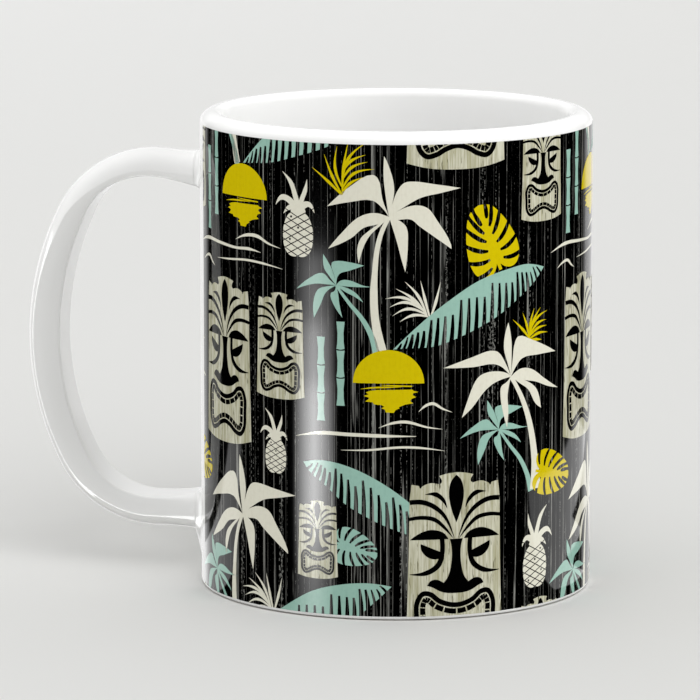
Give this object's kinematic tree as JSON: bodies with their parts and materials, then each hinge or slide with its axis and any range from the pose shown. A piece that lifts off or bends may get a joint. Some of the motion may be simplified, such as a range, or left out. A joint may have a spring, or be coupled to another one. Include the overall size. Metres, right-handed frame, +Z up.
{
  "type": "printed ceramic mug",
  "caption": "Straight-sided glazed ceramic mug with a loop handle and a dark printed band of tiki masks, palms, leaves and suns.",
  "frame": {"origin": "the cup's axis where it meets the table, at the centre of the foot ring", "axes": "+Z up along the cup's axis; the handle points along -X; the print's seam lies behind the handle"},
  "size_m": [0.1172, 0.08, 0.0973],
  "materials": {
    "white_glaze": "gloss white glaze",
    "joint_glaze": "gloss white glaze over slip",
    "print_black": "gloss coating, printed black with grey dry-brush streaks",
    "print_bone": "pale bone ceramic ink, fired glossy",
    "print_teal": "soft teal ceramic ink, fired glossy",
    "print_mustard": "mustard ceramic ink, fired glossy",
    "print_wood": "pale weathered wood tone with fine grain, printed and fired glossy",
    "print_charcoal": "black ceramic ink of the motif line work, fired glossy"
  },
  "bodies": {
    "root": {"cup_body": "white_glaze", "handle": "white_glaze", "upper_handle_joint": "joint_glaze", "lower_handle_joint": "joint_glaze", "print_wrap": "print_black"}
  },
  "joints": []
}
